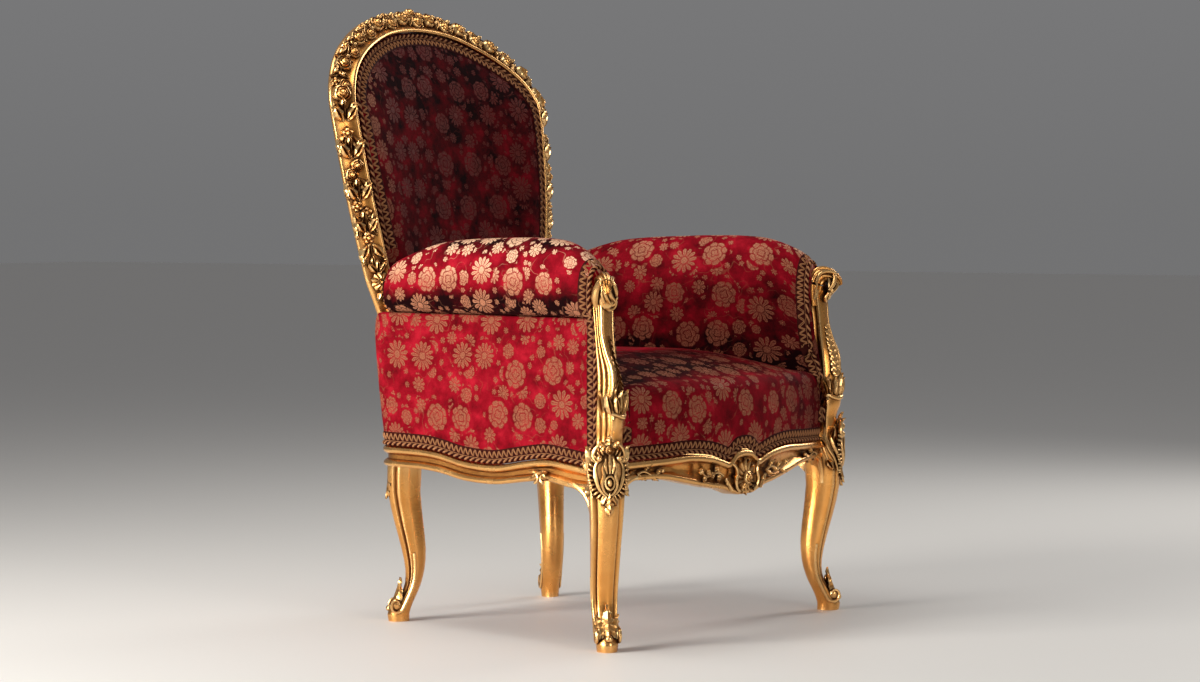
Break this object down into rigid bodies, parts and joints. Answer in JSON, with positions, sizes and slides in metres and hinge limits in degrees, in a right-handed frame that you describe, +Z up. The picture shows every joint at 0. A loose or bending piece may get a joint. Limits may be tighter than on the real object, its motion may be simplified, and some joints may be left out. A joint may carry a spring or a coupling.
{
  "type": "throne",
  "caption": "Carved and gilded armchair with a tall leaning back, closed padded arms, cabriole legs, patterned velvet covers and gimp braid.",
  "frame": {"origin": "on the floor, centred under the chair's bounding box", "axes": "+Z up, the sitter faces -Y, +X across the seat"},
  "size_m": [0.807, 0.7942, 1.1537],
  "materials": {
    "gilt_wood": "burnished gilding, darker in the carving",
    "velvet": "woven floral velvet",
    "gimp": "stitched braid"
  },
  "bodies": {
    "root": {"front_leg_left": "gilt_wood", "front_leg_right": "gilt_wood", "back_leg_left": "gilt_wood", "back_leg_right": "gilt_wood", "front_rail": "gilt_wood", "side_rail_left": "gilt_wood", "side_rail_right": "gilt_wood", "back_rail": "gilt_wood", "arm_post_left": "gilt_wood", "arm_post_right": "gilt_wood", "back_frame": "gilt_wood", "seat_cushion": "velvet", "arm_cushion_left": "velvet", "arm_cushion_right": "velvet", "side_panel_left": "velvet", "side_panel_right": "velvet", "back_cushion": "velvet", "back_panel": "velvet", "seat_braid": "gimp", "side_braid_left": "gimp", "side_braid_right": "gimp", "post_braid_left": "gimp", "post_braid_right": "gimp", "back_braid": "gimp", "rear_braid": "gimp"}
  },
  "joints": []
}
